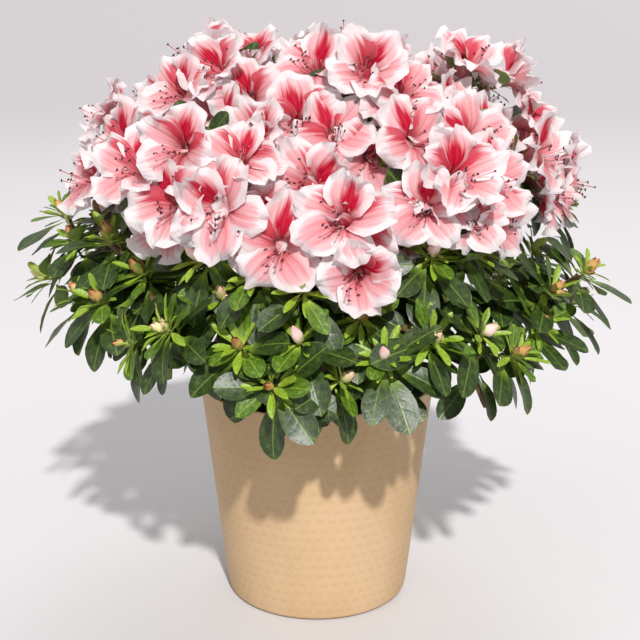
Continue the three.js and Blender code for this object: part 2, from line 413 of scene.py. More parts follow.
def spread(name, shapes, spots, material):
    """One plain mesh of a shape at each spot."""
    store = bpy.data.collections.new(name + " shapes")
    for number, shape in enumerate(shapes):
        mesh = shape_mesh("shape", shape)
        store.objects.link(bpy.data.objects.new(f"{name} {number:02d}", mesh))
    mesh = bpy.data.meshes.new(name)
    mesh.from_pydata([s.place for s in spots], [], [])
    for key, kind, field, values in (
        ("turn", "FLOAT_VECTOR", "vector", [c for s in spots for c in s.turn]),
        ("size", "FLOAT", "value", [s.size for s in spots]),
        ("shape", "INT", "value", [s.shape for s in spots]),
    ):
        mesh.attributes.new(key, kind, "POINT").data.foreach_set(field, values)
    piece = show(name, mesh)
    modifier = piece.modifiers.new("spread", "NODES")
    modifier.node_group = SPREADING
    inputs = {"Shapes": store, "Finish": material}
    for item in SPREADING.interface.items_tree:
        if item.in_out == "INPUT" and item.name in inputs:
            modifier[item.identifier] = inputs[item.name]
    return settle(piece, store)


def settle(piece, store):
    """Turns what the modifier shows into the piece's own plain mesh."""
    graph = bpy.context.evaluated_depsgraph_get()
    real = bpy.data.meshes.new_from_object(piece.evaluated_get(graph))
    piece.modifiers.clear()
    piece.data = real
    for thing in list(store.objects):
        bpy.data.objects.remove(thing)
    bpy.data.collections.remove(store)
    print(piece.name, "has", sum(len(f.vertices) - 2 for f in real.polygons), "triangles")
    return piece


# %% [markdown]
# ## The cover pot
#
# The cover is a thin tapered cylinder of tan card with a fine weave pressed into it,
# like bricks a few millimetres long. Its profile is turned about the pot's axis: a small
# round at the foot, a straight wall, a thin rim, and the inside. The weave is too fine to
# be worth real faces, so the material makes it as relief, from the wall's own map, and
# paints a little shade into its dents.

# %% A profile, turned
POT_HEIGHT = pot_high.z
POT_RIM = pot_high.x
POT_FOOT = POT_RIM * 55 / 70


def wall_radius(height):
    return POT_FOOT + (POT_RIM - POT_FOOT) * height / POT_HEIGHT


def round_corner(radius, height, size, start, end, steps=6):
    """Points on a small round, whose middle is at a radius and height."""
    angles = np.radians(np.linspace(start, end, steps + 1))
    return [(radius + size * math.cos(a), height + size * math.sin(a)) for a in angles]


def shares_along(profile):
    """How far along the profile each of its points is, from 0 to 1."""
    lengths = np.hypot(*np.diff(np.array(profile), axis=0).T)
    return np.concatenate([[0], np.cumsum(lengths)]) / lengths.sum()


def turned(profile, sides):
    """A profile of (radius, height) turned about the pot's axis, with a map round it."""
    rings = [[(r * c, r * s, z) for c, s in circle(sides)] for r, z in profile]
    return Shape(*tube(rings, shares_along(profile)))


# %% The cover's material: tan card with a pressed weave
WEAVE_ROUND = 57  # pillows round the pot
WEAVE_ROWS = 22  # rows of pillows up the wall


def card_finish(wall_start, wall_end):
    card = Finish("tan_card_with_pressed_weave", roughness=0.62, specular=0.3)
    round_pot, along = card.own_uv()
    up = (along - wall_start) / (wall_end - wall_start)
    on_wall = up.ramp(0.0, 0.02) * (1 - up.ramp(0.965, 0.98))
    row = (up * WEAVE_ROWS).whole()
    rise = up * WEAVE_ROWS - row
    shifted = round_pot * WEAVE_ROUND + row * 0.5
    sideways = abs(shifted - shifted.whole() - 0.5) * 2
    endways = abs(rise - 0.5) * 2
    pillow = (1 - sideways**4 * 0.6) * (1 - endways**4)
    # A short shallow dent is pressed into the lower half of each pillow, and painted shade darkens it a
    # little.
    dent_and_painted_shade = (1 - abs(rise - 0.3).ramp(0.05, 0.32)) * (1 - sideways.ramp(0.3, 0.8)) * on_wall
    cloud = card.noise(card.place(round_pot * 9, along * 5), 1.0)
    fibre = card.noise(card.place(round_pot * 300, along * 170), 1.0, detail=3.0)
    colour = card.blend(tint("#c3a581"), tint("#bb9d77"), cloud.ramp(0.35, 0.65))
    colour = card.blend(colour, tint("#d0b592"), fibre.ramp(0.5, 0.8) * 0.4)
    # Painted shade in the dents: a darker tan is blended in where they are pressed.
    colour = card.blend(colour, tint("#977549"), dent_and_painted_shade * 0.1)
    card.relief(pillow * on_wall * 0.16 - dent_and_painted_shade * 0.1 + fibre * 0.14, 0.3 * MM)
    return card.paint(colour, 0.6 + dent_and_painted_shade * 0.1)


# %% The cover
CARD = 1.6 * MM
FOOT_ROUND = 3 * MM


def cover_profile():
    lip = CARD / 2
    foot = round_corner(POT_FOOT - FOOT_ROUND, FOOT_ROUND, FOOT_ROUND, -90, -4)
    wall = [(wall_radius(POT_HEIGHT * s), POT_HEIGHT * s) for s in np.linspace(0.04, 0.985, 14)]
    rim = round_corner(POT_RIM - lip, POT_HEIGHT - lip, lip, 0, 180)
    inside = [(wall_radius(POT_HEIGHT * s) - CARD, POT_HEIGHT * s) for s in (0.9, 0.5, 0.05, 0.025)]
    under = [(POT_FOOT * s, 0.0) for s in (0.0005, 0.5)]
    floor = [(POT_FOOT * 0.5, POT_HEIGHT * 0.024), (POT_FOOT * 0.0005, POT_HEIGHT * 0.024)]
    return under, foot, wall, rim, inside, floor


under, foot, wall, rim, inside, floor_line = cover_profile()
profile = under + foot + wall + rim + inside + floor_line
shares = shares_along(profile)
wall_start = shares[len(under)]
wall_end = shares[len(under + foot + wall) - 1]
cover = make_object("cover", turned(profile, 144), card_finish(wall_start, wall_end))
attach(cover, "root")
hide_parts("cover_pot")
print("cover", POT_RIM * 2, "across the rim and", POT_HEIGHT, "tall")

# %% [markdown]
# ## The nursery pot and the soil
#
# The plant is still in the thin black pot that it was grown in. Only its rim shows,
# just inside the cover's. The soil is dark peat: a bumpy disc with crumbs spread on it.


# %% Black plastic
def plastic_finish():
    plastic = Finish("thin_black_plastic", roughness=0.42, specular=0.4)
    place = plastic.object_place()
    scuff = plastic.noise(place, 160.0, detail=4.0)
    colour = plastic.blend(tint("#1a1a1d"), tint("#34343a"), scuff.ramp(0.5, 0.85))
    plastic.relief(scuff, 0.08 * MM)
    return plastic.paint(colour, 0.36 + scuff * 0.25)


def nursery_profile():
    low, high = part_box("nursery_pot")
    skin = 1.2 * MM
    lip_radius, top = high.x, high.z
    shoulder = lip_radius - 3 * MM
    foot_radius = POT_FOOT - 6.5 * MM
    lip = round_corner(lip_radius - skin / 2, top - skin / 2, skin / 2, 0, 180)
    return [
        (0.01 * MM, low.z),
        (foot_radius - 2 * MM, low.z),
        (foot_radius, low.z + 2 * MM),
        (shoulder, top - 7.5 * MM),
        (lip_radius - 0.5 * MM, top - 6.8 * MM),
        (lip_radius, top - 5.5 * MM),
        *lip,
        (lip_radius - skin - 0.5 * MM, top - 5 * MM),
        (shoulder - skin, top - 8 * MM),
        (foot_radius - skin, low.z + 3 * MM),
        (0.01 * MM, low.z + 2 * MM),
    ]


nursery = make_object("nursery_pot_black", turned(nursery_profile(), 120), plastic_finish())
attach(nursery, "root")
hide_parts("nursery_pot")


# %% Peat
def peat_finish():
    peat = Finish("dark_moist_peat", roughness=0.9, specular=0.2)
    place = peat.object_place()
    crumbs = peat.noise(place, 420.0, detail=6.0)
    damp = peat.noise(place, 45.0)
    colour = peat.blend(tint("#1d1510"), tint("#4a3524"), crumbs.ramp(0.35, 0.75))
    colour = peat.blend(colour, tint("#140e0a"), damp.ramp(0.45, 0.7) * 0.6)
    peat.relief(crumbs, 0.9 * MM)
    return peat.paint(colour, 0.95 - damp * 0.2)


def soil_shape(rings=16, sides=72):
    """The root ball's top, which rises to the stem, with a skirt down inside the pot."""
    low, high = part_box("root_ball")
    edge = high.x - 1.5 * MM
    drop = 5 * MM
    profile = [(0.01 * MM, high.z)]
    for ring in range(1, rings + 1):
        share = ring / rings
        profile.append((edge * share, high.z - drop * smooth(np.array(share), 0.2, 1)))
    profile += [(edge - 1 * MM, high.z - 12 * MM), (POT_FOOT - 9 * MM, low.z), (0.01 * MM, low.z)]
    soil = turned(profile[::-1], sides)
    for point in soil.points:
        if point[2] > high.z - 8 * MM:
            lump = noise.fractal(Vector(point) * 160, 1.0, 2.0, 3)
            point[2] += lump * 1.1 * MM - 0.6 * MM
    return soil, edge, high.z - drop


PEAT = peat_finish()
soil_body, soil_edge, soil_level = soil_shape()
soil = make_object("soil", soil_body, PEAT)
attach(soil, "root")
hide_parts("root_ball")


# %% Crumbs of peat, spread on the soil
def crumb_shape(rng):
    ball = bmesh.new()
    bmesh.ops.create_icosphere(ball, subdivisions=1, radius=1)
    points = np.array([v.co for v in ball.verts]) * rng.uniform(0.6, 1.25, (len(ball.verts), 1))
    faces = [[v.index for v in f.verts] for f in ball.faces]
    ball.free()
    return Shape(points, faces, [(0.5, 0.5)] * (3 * len(faces)))


def random_turn(rng):
    return Matrix.Rotation(rng.uniform(0, 6.28), 3, Vector(rng.normal(size=3)))


CRUMBS = 420
rng = np.random.default_rng(11)
crumbs = []
for _ in range(CRUMBS):
    bearing, reach = rng.uniform(0, 2 * np.pi), soil_edge * math.sqrt(rng.uniform(0.06, 0.93))
    height = soil_level + 5 * MM * (1 - smooth(np.array(reach / soil_edge), 0.2, 1))
    place = (reach * math.cos(bearing), reach * math.sin(bearing), height)
    crumbs.append(Spot(place, random_turn(rng), rng.uniform(0.7, 2.2) * MM, rng.integers(4)))
crumb_piece = spread("peat_crumbs", [crumb_shape(rng) for _ in range(4)], crumbs, PEAT)
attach(crumb_piece, "root")

# %% [markdown]
# ## Stem and boughs
#
# The CAD's limbs are separate tubes with a hair's gap at each fork. On the plant they are
# one piece of wood. A copy of each is swollen a little to close the gaps. Geometry Nodes
# turn them all into one volume and wrap it in one skin, so the forks come out smoothly
# blended. Then every point is moved by a noise that is stretched along the limb, which
# makes the bark's ridges real, and the material adds the grain that is finer than that.


# %% Bark
def bark_finish():
    bark = Finish("grey_brown_bark", roughness=0.85, specular=0.25)
    place = bark.object_place()
    long_way = bark.node("ShaderNodeMapping", None, {"Vector": place, "Scale": (1, 1, 0.25)})
    ridges = bark.noise(long_way, 620.0, detail=5.0)
    patches = bark.noise(place, 90.0)
    colour = bark.blend(tint("#4a3626"), tint("#8b745a"), ridges.ramp(0.3, 0.7))
    colour = bark.blend(colour, tint("#6d6a4e"), patches.ramp(0.52, 0.7) * 0.5)
    bark.relief(ridges, 0.35 * MM)
    return bark.paint(colour, 0.75 + ridges * 0.2)


WOOD_VOXEL = 0.95 * MM
SWELLING = 0.7 * MM  # more than half of the gap at a fork
RIDGES = 0.45 * MM


def wood_copy(name):
    """The points and faces of a CAD limb, with its doubles merged and its skin swollen."""
    limb = bmesh.new()
    limb.from_mesh(nodes[name].data)
    bmesh.ops.remove_doubles(limb, verts=limb.verts, dist=0.01 * MM)
    bmesh.ops.recalc_face_normals(limb, faces=limb.faces)
    limb.normal_update()
    for vertex in limb.verts:
        vertex.co += vertex.normal * SWELLING
    return limb


def wood_mesh():
    whole = bmesh.new()
    for name in wood_nodes:
        limb = wood_copy(name)
        scrap = bpy.data.meshes.new("limb")
        limb.to_mesh(scrap)
        limb.free()
        whole.from_mesh(scrap)
    mesh = bpy.data.meshes.new("wood")
    whole.to_mesh(mesh)
    whole.free()
    return mesh


def skin_tree():
    """One skin round all the limbs, made by way of a volume."""
    tree = bpy.data.node_groups.new("one skin over the wood", "GeometryNodeTree")
    tree.interface.new_socket("Limbs", in_out="INPUT", socket_type="NodeSocketGeometry")
    tree.interface.new_socket("Wood", in_out="OUTPUT", socket_type="NodeSocketGeometry")
    given = tree.nodes.new("NodeGroupInput")
    volume = tree.nodes.new("GeometryNodeMeshToVolume")
    volume.resolution_mode = "VOXEL_SIZE"
    volume.inputs["Voxel Size"].default_value = WOOD_VOXEL
    volume.inputs["Interior Band Width"].default_value = 2 * WOOD_VOXEL
    skin = tree.nodes.new("GeometryNodeVolumeToMesh")
    skin.inputs["Threshold"].default_value = 0.12
    tree.links.new(given.outputs[0], volume.inputs["Mesh"])
    tree.links.new(volume.outputs[0], skin.inputs["Volume"])
    tree.links.new(skin.outputs[0], tree.nodes.new("NodeGroupOutput").inputs[0])
    return tree


def bark_piece():
    wood = show("stem_and_boughs", wood_mesh())
    wood.modifiers.new("one skin", "NODES").node_group = skin_tree()
    soft = wood.modifiers.new("soften", "SMOOTH")
    soft.iterations = 6
    graph = bpy.context.evaluated_depsgraph_get()
    mesh = bpy.data.meshes.new_from_object(wood.evaluated_get(graph))
    wood.modifiers.clear()
    wood.data = mesh
    # All normals are read before any point moves, since a move makes them out of date.
    normals = [vertex.normal.copy() for vertex in mesh.vertices]
    for vertex, normal in zip(mesh.vertices, normals):
        along = Vector((vertex.co.x * 420, vertex.co.y * 420, vertex.co.z * 130))
        vertex.co += normal * noise.fractal(along, 1.0, 2.0, 3) * RIDGES
    mesh.shade_smooth()
    mesh.materials.clear()
    mesh.materials.append(bark_finish())
    return wood


wood = bark_piece()
soil_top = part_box("main_stem")[0].z
for vertex in wood.data.vertices:
    vertex.co.z = max(vertex.co.z, soil_top - 1.5 * MM)
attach(wood, "root")
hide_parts(*wood_nodes)
print("stem and boughs", len(wood.data.polygons), "faces")

# %% [markdown]
# ## Where the flowers and the leaf whorls sit
#
# Everything on the shrub faces away from its heart. So each place is found by looking
# towards the heart from outside, in some direction, and taking the first solid that is
# met. The flowers and whorls of the front have their bearings in two tables. Another
# script worked most of them out by casting rays onto the masses, and some were then
# moved by hand.
# The rest come from seeded darts: a direction is drawn, and it is kept if no flower or
# whorl sits too near.


# %% Looking at the masses from outside
def mass_tree(names):
    """One tree of all the faces of the masses, and the name that each face belongs to."""
    points, faces, owners = [], [], []
    for name in names:
        first = len(points)
        data = nodes[name].data
        points += [v.co.copy() for v in data.vertices]
        faces += [[first + i for i in p.vertices] for p in data.polygons]
        owners += [name] * len(data.polygons)
    return BVHTree.FromPolygons(points, faces), owners


MASSES, MASS_OWNERS = mass_tree(bloom_nodes + leaf_nodes)
LOOK_FROM = 0.5
WHORL_LOWEST = 179 * MM


def direction(bearing, lift):
    """A unit vector, from degrees round from the right-hand side and degrees up."""
    bearing, lift = math.radians(bearing), math.radians(lift)
    flat = math.cos(lift)
    return Vector((flat * math.cos(bearing), flat * math.sin(bearing), math.sin(lift)))


def surface_towards(heart, way):
    """The outermost place in a direction from the heart, and the mass that it is on."""
    place, normal, face, _ = MASSES.ray_cast(heart + way * LOOK_FROM, -way, LOOK_FROM)
    return (place, normal, MASS_OWNERS[face]) if place else None


def bough_end(mass):
    """The end of the limb that feeds a mass, and the way that the limb was going."""
    own = mass.replace("bloom", "bough")
    limb = nodes[own if own in nodes else "side_bough_" + mass]
    low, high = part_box(mass)
    centre = (low + high) / 2
    points = [v.co for v in limb.data.vertices]
    nearest = min(points, key=lambda p: (p - centre).length)
    ring = [p for p in points if (p - nearest).length < 5 * MM]
    end = sum(ring, Vector()) / len(ring)
    middle = sum(points, Vector()) / len(points)
    return end, (end - middle).normalized()


class Tip:
    """The end of a twig: its place, the way it faces, and the mass that it belongs to."""

    def __init__(self, place, facing, mass):
        self.place = place
        self.facing = facing.normalized()
        self.mass = mass


def darts(heart, lifts, throws, spacing, names, rng, taken):
    """Seeded places at least a spacing apart, on the masses that are named."""
    found = []
    for _ in range(throws):
        low, high = (math.sin(math.radians(lift)) for lift in lifts)
        lift = math.degrees(math.asin(rng.uniform(low, high)))
        way = direction(rng.uniform(0, 360), lift)
        seen = surface_towards(heart, way)
        if not seen or seen[2] not in names or seen[0].z < WHORL_LOWEST:
            continue
        if all((seen[0] - other).length > spacing for other in taken):
            taken.append(seen[0])
            found.append((seen, way))
    return found


# %% The flowers' places
BLOOM_HEART = Vector((0, 0, 215 * MM))
LEAN_OUT = 0.75  # how far the flowers near the top lean outwards
FRONT = Vector((0, -1, 0))
TO_THE_FRONT = 0.65  # how far the flowers of the front half turn to the light
FLOWER_SPACING = 27 * MM
FLOWER_INSET = 9 * MM
LAYER_DEPTH = 11 * MM  # from the outer flowers to those that fill the gaps below them
LAYER_SPACING = 21 * MM
# Bearing and lift of the flowers that face the front, mostly worked out by another script.
FRONT_FLOWERS = [
    (-168, 42), (-134, 44), (-123, 54), (-93, 66), (-67, 58), (-54, 50), (-18, 46), (-13, 34),
    (-167, 30), (-128, 31), (-110, 32), (-97, 49), (-84, 44), (-71, 36), (-57, 37), (-12, 24),
    (-160, 22), (-114, 19), (-92, 28), (-84, 18), (-62, 20), (-52, 26), (-99, 12), (-80, 5),
    (-144, 26), (-33, 35), (-36, 51),
]  # fmt: skip


def chosen(heart, bearings, names, taken):
    """The places on the named masses that are seen in the directions given."""
    found = []
    for bearing, lift in bearings:
        way = direction(bearing, lift)
        seen = surface_towards(heart, way)
        if seen and seen[2] in names:
            taken.append(seen[0])
            found.append((seen, way))
    return found


def flower_tips(rng):
    taken = []
    found = chosen(BLOOM_HEART, FRONT_FLOWERS, bloom_nodes, taken)
    found += darts(BLOOM_HEART, (13, 90), 6000, FLOWER_SPACING, bloom_nodes, rng, taken)
    tips = []
    for (place, normal, mass), way in found:
        lean = LEAN_OUT * smooth(way.z, 0.4, 0.8) * (0.55 - 0.45 * math.tanh(4 * way.y))
        outward = Vector((way.x, way.y, 0)).normalized() * lean
        facing = way + normal * 0.35 + UP * 0.15 + outward + Vector(rng.normal(0, 0.24, 3))
        facing = facing + FRONT * TO_THE_FRONT * smooth(-way.y, -0.35, 0.1)
        inset = FLOWER_INSET + rng.uniform(-4, 7) * MM
        tips.append(Tip(place - way * inset, facing, mass))
    return tips


def flowers_below(tips, rng):
    """A second layer, deeper in, that faces between the flowers of the first."""
    found = []
    for tip in tips:
        near = sorted(tips, key=lambda other: (other.place - tip.place).length)[1:4]
        gap = (tip.place + near[rng.integers(3)].place) / 2 - tip.facing * LAYER_DEPTH
        if all((gap - other.place).length > LAYER_SPACING for other in found):
            facing = tip.facing + Vector(rng.normal(0, 0.3, 3))
            found.append(Tip(gap, facing, tip.mass))
    return found


rng = np.random.default_rng(5)
flowers = flower_tips(rng)
outer_flowers = len(flowers)
flowers += flowers_below(flowers, rng)
print("flowers", len(flowers))

# %% The leaf whorls' places
LEAF_HEART = Vector((0, 0, 160 * MM))
WHORL_SPACING = 31 * MM
WHORL_INSET = 9 * MM
UNDER_BLOOM = 14 * MM  # how much deeper the whorls sit that grow among the flowers
LIMB_END_TWIG = 3 * MM
BARE_DEPTH = 16 * MM  # a limb's end shows where it is nearer the outside than this
BARE_SPACING = 12 * MM
FLOWER_BEHIND, FLOWER_AHEAD, FLOWER_ASIDE = -33 * MM, 16 * MM, 13 * MM
# Bearing and lift of the whorls that face the front, mostly worked out by another script.
FRONT_WHORLS = [
    (-127, 14), (-109, 12), (-94, 14), (-78, 20), (-74, 10), (-62, 13), (-20, 23), (-46, 12),
    (-23, 9), (-176, 23), (-142, 27), (-119, 24), (-150, 16), (-18, 15), (-37, 5), (-100, 4),
    (-84, 5), (-146, 25), (-2, 22), (-110, 25), (-48, 21), (-164, 14),
]  # fmt: skip


def whorl_tips(rng):
    taken = []
    found = chosen(LEAF_HEART, FRONT_WHORLS, leaf_nodes + bloom_nodes, taken)
    found += darts(LEAF_HEART, (-38, 60), 9000, WHORL_SPACING, leaf_nodes, rng, taken)
    found += darts(LEAF_HEART, (14, 33), 3000, WHORL_SPACING, bloom_nodes, rng, taken)
    tips = []
    for (place, normal, mass), way in found:
        facing = way * 0.6 + normal * 0.35 + UP * 0.5 + Vector(rng.normal(0, 0.16, 3))
        inset = WHORL_INSET + (UNDER_BLOOM if mass in bloom_nodes else 0)
        tips.append(Tip(place - way * inset, facing, mass))
    return tips


def limb_end_tips(others):
    """A whorl of its own for each limb whose end would be seen bare."""
    tips = []
    for mass in leaf_nodes + bloom_nodes:
        end, way = bough_end(mass)
        tip = Tip(end + way * LIMB_END_TWIG, way + UP * 0.3, mass)
        depth = MASSES.find_nearest(end)[3]
        clear = all((tip.place - t.place).length > BARE_SPACING for t in others)
        if clear and depth < BARE_DEPTH and end.z > WHORL_LOWEST:
            tips.append(tip)
    return tips


def inside_a_flower(tip):
    """Whether a shoot would poke through an open flower."""
    for flower in flowers:
        apart = tip.place - flower.place
        ahead = apart.dot(flower.facing)
        aside = (apart - flower.facing * ahead).length
        if FLOWER_BEHIND < ahead < FLOWER_AHEAD and aside < FLOWER_ASIDE:
            return True
    return False


whorls = whorl_tips(rng)
whorls += limb_end_tips(whorls + flowers)
whorls = [tip for tip in whorls if not inside_a_flower(tip)]
print("leaf whorls", len(whorls))

# %% [markdown]
# ## Twigs
#
# Each mass is fed by the bough that ends at it. From there the twigs follow one rule:
# a twig that has several tips to feed runs part of the way to their middle and forks,
# and each half of the tips gets its own twig, until one tip is left. A twig's thickness
# grows with the number of tips that it feeds, as it does on a real shrub.

# %% The bough's end
TWIG_RADIUS = 0.85 * MM
FORK_SHARE = 0.42
LIMB_END_RADIUS = 2 * MM
TWIG_SIDES = 6
TWIG_STEPS = 5
FLOWER_DEPTH = 18 * MM  # from the foot of a flower's tube to the plane of its lobes


def bend(start, start_way, end, end_way):
    """Points along a curve that leaves one way and arrives another."""
    reach = (end - start).length * 0.38
    handles = start, start + start_way * reach, end - end_way * reach, end
    weights = lambda t: ((1 - t) ** 3, 3 * t * (1 - t) ** 2, 3 * t * t * (1 - t), t**3)
    steps = np.linspace(0, 1, TWIG_STEPS + 1)
    return [sum((h * w for h, w in zip(handles, weights(t))), Vector()) for t in steps]


def fork(start, way, tips, strokes, rng, given=0.0):
    """Adds the twigs that lead from a start to all of the tips."""
    own = TWIG_RADIUS * len(tips) ** 0.45
    thickness = max(own, given)
    if len(tips) == 1:
        place, facing = tips[0]
        strokes.append((bend(start, way, place, facing), thickness, TWIG_RADIUS, 0.35, 1.0))
        return
    middle = sum((place for place, _ in tips), Vector()) / len(tips)
    knot = start.lerp(middle, FORK_SHARE) + Vector(rng.normal(0, 2 * MM, 3))
    onward = (middle - start).normalized()
    strokes.append((bend(start, way, knot, onward), thickness, own * 0.85, 0.0, 0.35))
    spread_way = max((place - middle for place, _ in tips), key=lambda v: v.length)
    tips = sorted(tips, key=lambda tip: tip[0].dot(spread_way))
    half = len(tips) // 2
    for group in (tips[:half], tips[half:]):
        fork(knot, onward, group, strokes, rng)


def twig_shape(stroke):
    """A tube along the stroke. Its map says how green it is, from old wood to new tip."""
    line, thick, thin, old, new = stroke
    rings = []
    steps = len(line) - 1
    for step, centre in enumerate(line):
        way = (line[min(step + 1, steps)] - line[max(step - 1, 0)]).normalized()
        side = way.orthogonal().normalized() if step == 0 else side - way * side.dot(way)
        side.normalize()
        other = way.cross(side)
        radius = thick + (thin - thick) * step / steps
        rings.append([centre + (side * c + other * s) * radius for c, s in circle(TWIG_SIDES)])
    points, faces, uv = tube(rings, np.linspace(old, new, steps + 1))
    faces.append(list(range(TWIG_SIDES))[::-1])
    faces.append([steps * TWIG_SIDES + k for k in range(TWIG_SIDES)])
    uv += [(0.5, old)] * TWIG_SIDES + [(0.5, new)] * TWIG_SIDES
    return Shape(points, faces, uv)


# %% Growing them
def twig_finish():
    twig = Finish("young_wood", roughness=0.6, specular=0.35)
    round_twig, green = twig.own_uv()
    fleck = twig.noise(twig.place(round_twig * 6, green * 30), 2.0, detail=3.0)
    colour = twig.blend(tint("#5d4630"), tint("#7d6a3e"), green.ramp(0.05, 0.5))
    colour = twig.blend(colour, tint("#8fa04a"), green.ramp(0.55, 0.95))
    colour = twig.blend(colour, tint("#3c2c1e"), fleck.ramp(0.5, 0.8) * 0.6)
    twig.relief(fleck, 0.15 * MM)
    return twig.paint(colour)


rng = np.random.default_rng(21)
strokes = []
for mass in bloom_nodes + leaf_nodes:
    ends = [(t.place - t.facing * FLOWER_DEPTH, t.facing) for t in flowers if t.mass == mass]
    ends += [(t.place, t.facing) for t in whorls if t.mass == mass]
    if ends:
        start, way = bough_end(mass)
        fork(start - way * 3 * MM, way, ends, strokes, rng, LIMB_END_RADIUS)
twigs = make_object("twigs", Shape.joined([twig_shape(s) for s in strokes]), twig_finish())
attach(twigs, "root")
print("twigs", len(strokes))

# %% [markdown]
# ## Leaves
#
# An azalea's leaf is a small paddle: narrow at its stalk, widest past the middle, with a
# tiny point. Its top is dark and glossy and its underside pale and dull. A leaf here is
# a thin closed body of two sheets on one grid of points, so both sides can have their
# own look. Its map gives the top one half of the square and the underside the other, and
# the veins are drawn on that map, so that every leaf carries them in the same place.

# %% One leaf
LEAF_ROWS = 7
LEAF_COLUMNS = 4
LEAF_THICKNESS = 0.01  # of its length
STALK = 0.1  # of its length
CELL_HALF = 0.48  # half of a sheet's width on the map, as a share of its cell


def paddle(along, foot, widest, tip_back):
    """Half-width of a rounded blade as a share of its widest, and how far its edge falls back."""
    rise = np.clip((along - foot) / (widest - foot), 0, 1)
    far = smooth(along, widest, 1.0)
    past = np.clip((along - tip_back * far - widest) / (1 - widest), 0, 1)
    return np.sin(rise * np.pi / 2) ** 0.85 * np.sqrt(1 - past**2), tip_back * far


def leaf_shape(width, droop, fold, wave, twist):
    """A leaf one unit long from the origin along +Y, with its top facing +Z."""
    across, along = grid(LEAF_ROWS, LEAF_COLUMNS)
    share, back = paddle(along, STALK, widest=0.68, tip_back=0.09)
    half = np.maximum(0.02, width * share)
    reach = along - back * across**2 + 0.01 * (across == 0) * smooth(along, 0.8, 1)
    angle = droop * reach
    bent = max(abs(droop), 1e-3) * math.copysign(1, droop or 1)
    y = np.sin(angle) / bent
    z = (np.cos(angle) - 1) / bent
    side = half * across
    ripple = np.sin(along * 9 + across * 1.5) * np.abs(across) * smooth(along, 0.1, 0.6)
    lift = fold * np.abs(side) + wave * ripple
    turn = twist * along
    points = np.stack([side * np.cos(turn), y, z + lift + side * np.sin(turn)], -1)
    return two_sheets(points, across, along, LEAF_THICKNESS)


TURNED = [0, 3, 2, 1]  # a quad's corners the other way round, on the same diagonal


def two_sheets(points, across, along, thickness, cell=(0, 0), cells=(2, 1)):
    """A closed thin body: the grid of points, and the same grid a little way below it.

    Its map has columns and rows of cells. The upper sheet takes one cell, and the lower
    sheet takes the cell half the columns further on."""
    rows, columns = points.shape[0] - 1, points.shape[1] - 1
    normal = np.cross(np.gradient(points, axis=1), np.gradient(points, axis=0))
    normal /= np.linalg.norm(normal, axis=-1, keepdims=True) + 1e-9
    number = np.arange(points.shape[0] * points.shape[1]).reshape(points.shape[:2])
    below = number.copy()
    below[1:-1, 1:-1] += number.size
    every = np.concatenate([points, points - normal * thickness]).reshape(-1, 3)
    top_faces = grid_faces(rows, columns)
    under_faces = below.ravel()[top_faces][:, TURNED]
    u = (cell[0] + 0.5 + across * CELL_HALF) / cells[0]
    v = (cell[1] + 0.01 + along * 0.98) / cells[1]
    uv = np.stack([u.ravel(), v.ravel()], 1)
    uv = np.concatenate([uv[top_faces], uv[top_faces][:, TURNED] + (0.5, 0)])
    faces = np.concatenate([top_faces, under_faces])
    used, packed = np.unique(faces, return_inverse=True)
    return Shape(every[used], packed.reshape(faces.shape), uv)


# %% The leaf's finish
def leaf_finish(name, top, top_light, under, vein, gloss):
    leaf = Finish(name, roughness=gloss, specular=0.5)
    sheet, along = leaf.own_uv()
    is_under = sheet.ramp(0.495, 0.505)
    across = (sheet * 2 - is_under - 0.5) / CELL_HALF
    outwards = abs(across)
    midrib = 1 - outwards.ramp(0.0, 0.09)
    # Side veins leave the midrib at a slant and fade towards the edge.
    slant = (along - outwards * 0.16) * 44
    side_vein = ((slant.sine() + 1) * 0.5) ** 7
    side_vein = side_vein * (1 - outwards.ramp(0.55, 0.95)) * along.ramp(0.12, 0.25)
    mottle = leaf.noise(leaf.place(across * 2.2, along * 7), 1.0, detail=3.0)
    face = leaf.blend(top, top_light, mottle.ramp(0.4, 0.75))
    face = leaf.blend(face, vein, (side_vein * 0.08).most(midrib * 0.4))
    back = leaf.blend(under, vein, (side_vein * 0.3).most(midrib))
    colour = leaf.blend(face, back, is_under)
    # The blade is yellow-green where it leaves its stalk, and darkens towards the tip.
    colour = leaf.blend(colour, vein, (1 - along.ramp(0.12, 0.5)) ** 1.6 * 0.85)
    quilt = 1 - side_vein * 0.12 - midrib * 0.25
    leaf.relief(quilt + mottle, 0.3 * MM)
    return leaf.paint(colour, gloss + is_under * 0.3 + mottle * 0.1)


OLD_LEAF = leaf_finish(
    "glossy_dark_leaf", tint("#1e300d"), tint("#3b5015"), tint("#748f50"), tint("#85a33c"), 0.36
)
MID_LEAF = leaf_finish(
    "green_leaf", tint("#3d5812"), tint("#62831d"), tint("#8aa75a"), tint("#a3bf48"), 0.36
)
NEW_LEAF = leaf_finish(
    "young_yellow_green_leaf", tint("#6d8c1f"), tint("#95ad30"), tint("#b4c864"), tint("#c9d662"), 0.34
)


# %% Leaves by age
def leaf_family(rng, count, width, droop, fold):
    """Shapes that differ within the ranges given."""
    shapes = []
    for _ in range(count):
        shape = leaf_shape(
            width=rng.uniform(*width),
            droop=rng.uniform(*droop),
            fold=rng.uniform(*fold),
            wave=rng.uniform(0, 0.022),
            twist=rng.uniform(-0.35, 0.35),
        )
        shapes.append(shape)
    return shapes


rng = np.random.default_rng(31)
OLD_SHAPES = leaf_family(rng, 10, width=(0.2, 0.25), droop=(0.1, 0.65), fold=(0.0, 0.3))
NEW_SHAPES = leaf_family(rng, 8, width=(0.09, 0.13), droop=(-0.3, 0.6), fold=(0.2, 0.6))


def facing_turn(along, top):
    """The turn that lays +Y along a way, with +Z as near as it can be to top."""
    y = along.normalized()
    x = y.cross(top)
    x = x.normalized() if x.length > 1e-4 else y.orthogonal().normalized()
    return Matrix((x, y, x.cross(y))).transposed()


